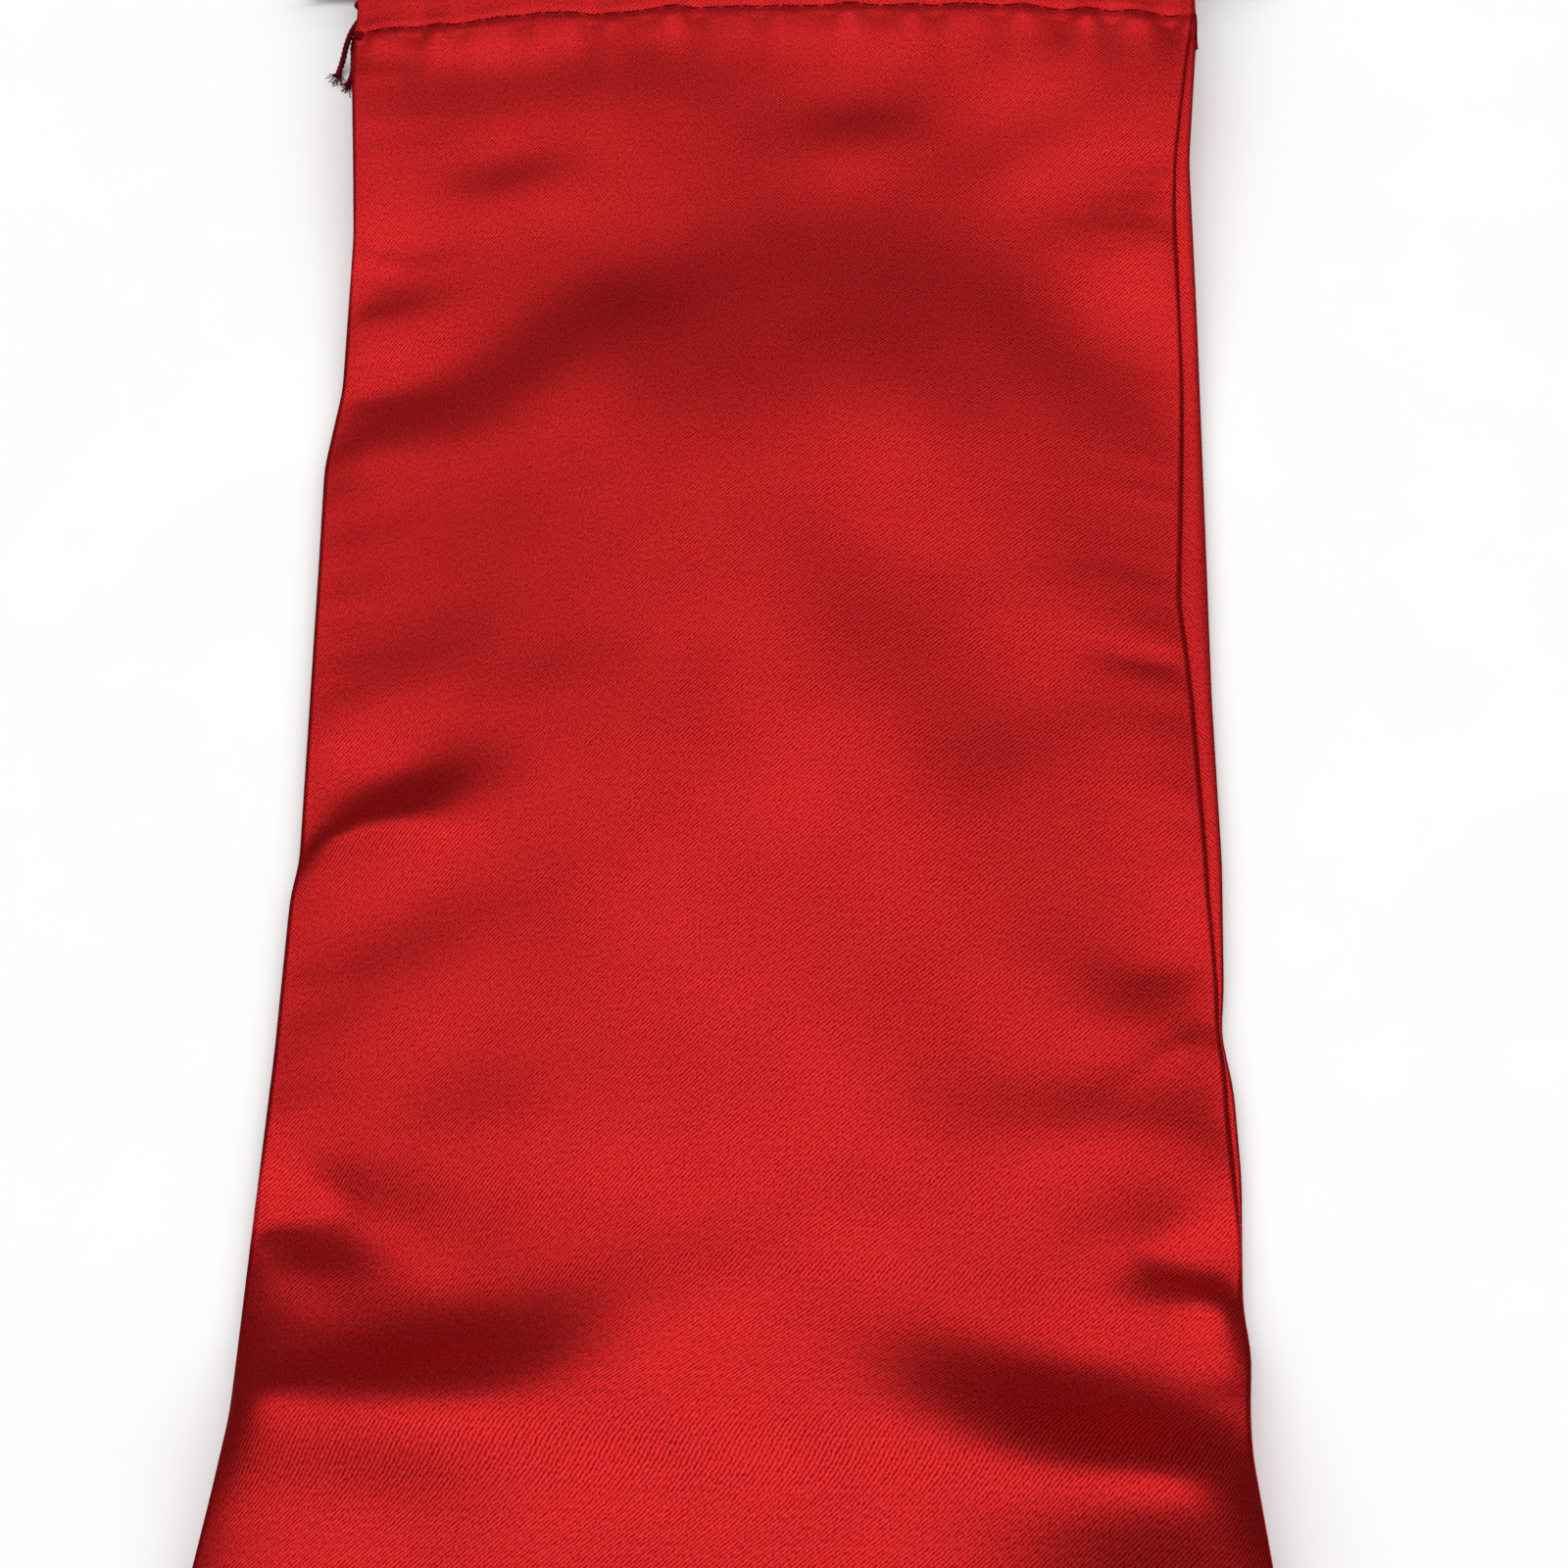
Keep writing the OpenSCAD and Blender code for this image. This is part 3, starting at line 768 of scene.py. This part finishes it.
def with_side_walls(grid):
    """Adds the columns that roll over the side edges: a wall down to the seam, then a tuck inwards."""
    y = grid[:, 0, 1]
    shut = shut_share(y)
    shut[np.argmax(y):] = 0
    wall = np.maximum(grid[:, 0, 2] - seam_height(y) - 0.5, 0)
    plans = {0: [(0.3, 0.25, 0.15), (0.1, 0.45, 0.5), (0.15, 0.5, 1.0), (0.9, 0.9, 1.0), (1.9, 1.0, 1.0)],
             -1: [(0.08, 0.15, 0), (0.22, 0.4, 0), (0.7, 0.8, 0), (1.5, 1.1, 0)]}
    sides = []
    for column, inward in ((0, 1.0), (-1, -1.0)):
        cols = []
        for step, (run, drop, down) in enumerate(plans[column], 1):
            p = grid[:, column].copy()
            p[:, 0] += inward * (run * shut - 0.05 * step * (1 - shut))
            p[:, 2] -= (drop + down * wall) * shut + 0.04 * step * (1 - shut)
            cols.append(p)
        sides.append(cols)
    return np.concatenate([np.stack(sides[0][::-1], axis=1), grid, np.stack(sides[1], axis=1)], axis=1)


def flat_coordinates(grid):
    """Cloth coordinates in millimetres: across and along the weave."""
    across = np.linalg.norm(np.diff(grid, axis=1), axis=2)
    u = np.concatenate([np.zeros((len(grid), 1)), np.cumsum(across, axis=1)], axis=1)
    u -= u[:, -1:] / 2
    middle = grid[:, grid.shape[1] // 2]
    v = np.concatenate([[0], np.cumsum(np.linalg.norm(np.diff(middle, axis=0), axis=1))])
    return np.stack([u, np.broadcast_to(v[:, None], u.shape)], axis=-1)


# ---- Back cloth ----

def back_section(y):
    """Points of the back cloth's outer face across the sack at one y, from left seam to right seam."""
    shut = float(shut_share(y))
    seam = float(seam_height(y))
    edge = float(edge_height(y))
    left = float(seen_at(-1, y, edge)[0])
    right, strip = (float(v) for v in seen_at(1, y, edge))
    strip = max(strip, 0.3)
    lift = float(smooth(strip / 1.6))
    top = edge - 0.45 + 0.5 * lift
    under = 0.02
    left_side = [(1.9, seam - 0.55), (0.9, seam - 0.5), (0.3, seam - 0.6), (0.05, seam - 1.1),
                 (0.15, 0.3 * seam), (0.9, 0.15), (2.2, under)]
    right_side = [(2.2, under), (1.0, 0.12), (0.3, 0.5), (0.05, 0.4 * top), (0.02, top - 0.6),
                  (min(0.25, 0.4 * strip), top - 0.12), (0.5 * strip, top + 0.05 * lift),
                  (0.9 * strip, top), (strip + 0.3, top - 0.45), (strip + 1.2, top - 1.3)]
    open_left = [(1.9, 0.3), (0.9, 0.3), (0.3, 0.3), (0.0, 0.28), (0.02, 0.1), (0.5, under), (2.2, under)]
    open_right = [(2.2, under), (0.9, under), (0.4, under), (0.1, 0.03), (0.02, 0.12), (0.02, 0.2),
                  (0.1, 0.27), (0.4, 0.3), (0.9, 0.3), (1.6, 0.3)]
    # Along the slits the back cloth lies flat, a little wider than the raised edge above it
    open_left = [(s[0] - 0.8, s[1]) for s in open_left]
    open_right = [(s[0] - 0.2, s[1]) for s in open_right]
    a = [(left + shut * s[0] + (1 - shut) * o[0], shut * s[1] + (1 - shut) * o[1])
         for s, o in zip(left_side, open_left)]
    b = [(right - shut * s[0] - (1 - shut) * o[0], shut * s[1] + (1 - shut) * o[1])
         for s, o in zip(right_side, open_right)]
    xs = np.linspace(left + 2.2, right - 2.2, 74)[1:-1]
    return a + [(x, under) for x in xs] + b


def make_back():
    ys = np.concatenate([np.linspace(BOTTOM, ROW - 8, 150), np.linspace(ROW - 8, ROW + 1, 13)[1:],
                         np.linspace(ROW + 1, MOUTH - 1.2, 24)[1:]])
    outer = np.array([[(x, y, z) for x, z in back_section(y)] for y in ys])
    lying = outer[:, :, 2] < 0.03
    outer[:, :, 2] += lying * 0.09 * (1 + floor_drift(outer[:, :, 0] + 0.4 * outer[:, :, 1]))
    # Beyond the mouth edge the cloth turns over and comes back as the facing, down to the lower row
    facing_z = back_facing_top / MM - 0.05
    fold_r = facing_z / 2
    last = outer[-1]
    arc = []
    for t in np.linspace(0, math.pi, 8)[1:]:
        p = last.copy()
        p[:, 1] += fold_r * math.sin(t)
        p[:, 2] += (facing_z - last[:, 2]) * (1 - math.cos(t)) / 2
        arc.append(p)
    inner = []
    for y in np.linspace(MOUTH - 1.2, ROW - 0.3, 30)[1:]:
        p = last.copy()
        p[:, 1] = y
        p[:, 2] = facing_z + 0.25 * header_wave(p[:, 0]) * smooth((y - ROW) / 6) * smooth((MOUTH - y) / 6)
        inner.append(p)
    grid = np.concatenate([outer, np.array(arc), np.array(inner)])
    # The section runs below the sack, so its outer face looks down: the columns are turned round
    cloth = sheet_object("back_cloth", grid[:, ::-1] * MM, flat_coordinates(grid)[:, ::-1], CLOTH,
                         SATIN, SATIN_BACK)
    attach(cloth, "sack")
    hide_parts("back_panel", "back_facing")


# ---- Stitches, bar tacks and inner seams ----

def stitch_paths(holes, surface):
    """One tube path for each stitch between two needle holes, over the cloth and down at its ends."""
    paths = []
    for a, b in zip(holes[:-1], holes[1:]):
        t = np.linspace(0.03, 0.97, 9)
        arch = np.minimum(1, np.minimum(t, 1 - t) / 0.16)
        x = a[0] + (b[0] - a[0]) * t
        y = a[1] + (b[1] - a[1]) * t
        z = surface(x, y) + STITCH_RISE * arch - STITCH_SINK * (1 - arch)
        paths.append(np.stack([x, y, z], axis=-1) * MM)
    return paths


def row_of_holes(y_at):
    """Needle holes across the casing, at the y that y_at gives for each x."""
    x = (np.arange(STITCHES + 1) - STITCHES / 2) * STITCH_PITCH / MM
    return np.stack([x, y_at(x)], axis=-1)


def stitching(name, holes, surface, body):
    """A row of stitches from hole to hole, over a surface given as a height of x and y."""
    threads = tubes_object(name + "_threads", stitch_paths(holes, surface), THREAD_R, 7, THREAD,
                           twist=2 * math.pi / (0.9 * MM), ridge=0.22, strands=2)
    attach(threads, body)
    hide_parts(name)


def surface_from(grid):
    """Height of the outer face of the front cloth, looked up from its points."""
    rows = grid[:np.argmax(grid[:, 0, 1])]

    def height(x, y):
        values = []
        for px, py in zip(x, y):
            k = np.searchsorted(rows[:, 0, 1], py)
            w = (py - rows[k - 1, 0, 1]) / (rows[k, 0, 1] - rows[k - 1, 0, 1])
            low = np.interp(px, rows[k - 1, 6:-6, 0], rows[k - 1, 6:-6, 2])
            high = np.interp(px, rows[k, 6:-6, 0], rows[k, 6:-6, 2])
            values.append(low + (high - low) * w)
        return np.array(values)
    return height


def make_casing_stitching(grid):
    lower_front = row_of_holes(lambda x: ROW + row_line(x))
    lower_back = row_of_holes(lambda x: ROW + 0 * x)
    upper = row_of_holes(lambda x: upper_row_y / MM + 0 * x)
    front_face = surface_from(grid)

    def back_face(x, y):
        return back_facing_top / MM + 0.1 + 0 * x

    stitching("front_lower_stitching", lower_front, front_face, "sack")
    stitching("front_upper_stitching", upper, front_face, "sack")
    stitching("back_lower_stitching", lower_back, back_face, "sack")
    stitching("back_upper_stitching", upper, back_face, "sack")


TACK_ABOVE_FOOT = 2.6   # millimetres that the tack lies above the foot of the slit
TACK_TURNS, TACK_STEP = 7, 0.25


def make_bar_tack(name, side):
    """Satin stitches side by side over the foot of the slit, wrapped round its edge."""
    y0 = middle_y(name) / MM + TACK_ABOVE_FOOT
    top = float(edge_height(y0))
    edge = float(seen_at(side, y0, top)[0])
    paths = []
    for k in range(TACK_TURNS):
        y = y0 + (k - TACK_TURNS // 2) * TACK_STEP
        loop = [(edge - side * 1.5, y, top - 0.4), (edge - side * 1.35, y, top + 0.25),
                (edge - side * 0.8, y, top + 0.4), (edge - side * 0.15, y, top + 0.2),
                (edge + side * 0.12, y, top * 0.6), (edge + side * 0.05, y, 0.6)]
        paths.append(resample(loop, 0.3) * MM)
    tack = tubes_object(name + "_threads", paths, FINE_THREAD_R, 7, THREAD,
                        twist=2 * math.pi / (0.8 * MM), ridge=0.2, strands=2)
    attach(tack, "sack")
    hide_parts(name)


SIDE_PINCH = 4.0        # how far the sides of the CAD draw in at mid length
ALLOWANCE = 0.45 * MM   # thickness of the two plies of an allowance
ZIGZAG = 1.4            # length of one overlock stitch


def seam_strip(name):
    """Corners of a straight bottom strip, or how far a side strip lies inside the outline."""
    low, high = (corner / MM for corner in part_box(name))
    if high[0] - low[0] > high[1] - low[1]:
        return {"side": 0, "low": low, "high": high, "span": high[0] - low[0]}
    side = 1 if low[0] > 0 else -1
    far, near = max(abs(low[0]), abs(high[0])), min(abs(low[0]), abs(high[0]))
    return {"side": side, "low": low, "high": high, "span": high[1] - low[1],
            "outer": HALF - far, "inner": HALF - SIDE_PINCH - near}


def on_strip(strip, s, t):
    """x and y on a seam strip, at a length s along it and a share t across it, from the raw edge out."""
    low, high = strip["low"], strip["high"]
    if strip["side"] == 0:
        return low[0] + s + 0 * t, high[1] + (low[1] - high[1]) * t + 0 * s
    y = low[1] + s
    edge, _ = seen_at(strip["side"], y, edge_height(y))
    inset = strip["inner"] + (strip["outer"] - strip["inner"]) * t
    return edge - strip["side"] * inset, y


def make_allowance(name, overlock, seam):
    """The turned-in seam allowance, its overlocked edge and its seam stitches, inside the sack."""
    strip = seam_strip(name)
    wave = ripple(5, 9, 26, len(name))
    s, t = np.meshgrid(np.linspace(0, strip["span"], int(strip["span"])), np.linspace(0, 1, 8),
                       indexing="ij")
    x, y = on_strip(strip, s, t)
    z = (strip["low"][2] + strip["high"][2]) / 2 + 0.2 + 0.15 * wave(s) * smooth(1 - t)
    grid = np.stack([x, y, z], axis=-1)
    if strip["side"] > 0:
        grid = grid[:, ::-1]   # keeps the right side of the cloth up
    cloth = sheet_object(name + "_cloth", grid * MM, flat_coordinates(grid), ALLOWANCE, SATIN_BACK,
                         SATIN_BACK)
    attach(cloth, "sack")
    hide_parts(name)
    make_overlock(overlock)
    make_seam(seam)


def make_overlock(name):
    """Loops of thread that zigzag over the raw edge."""
    strip = seam_strip(name)
    count = int(strip["span"] / ZIGZAG)
    k = np.arange(2 * count)
    x, y = on_strip(strip, k * strip["span"] / (2 * count), np.where(k % 2 == 0, 0.05, 0.95))
    z = strip["high"][2] - 0.05 + 0.1 * (k % 2)
    loops = tubes_object(name + "_threads", [resample(np.stack([x, y, z], axis=-1), 0.8) * MM],
                         FINE_THREAD_R, 6, THREAD)
    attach(loops, "sack")
    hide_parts(name)


def make_seam(name):
    """The seam's row of stitches along the middle of its allowance."""
    strip = seam_strip(name)
    s = np.linspace(0, strip["span"], int(strip["span"] / (STITCH_PITCH / MM)) + 1)
    x, y = on_strip(strip, s, 0.5)
    level = strip["high"][2] - 0.25
    stitching(name, np.stack([x, y], axis=-1), lambda x, y: level + 0 * x, "sack")


def make_inner_seams():
    for side in ("left", "right", "bottom"):
        make_allowance(side + "_seam_allowance", side + "_overlock", side + "_seam_stitching")


make_camera()
make_drawstring("left", 0)
make_drawstring("right", 1)
make_floor()
make_light()
front_grid = make_front()
make_back()
make_casing_stitching(front_grid)
make_bar_tack("left_bar_tack", -1)
make_bar_tack("right_bar_tack", 1)
make_inner_seams()
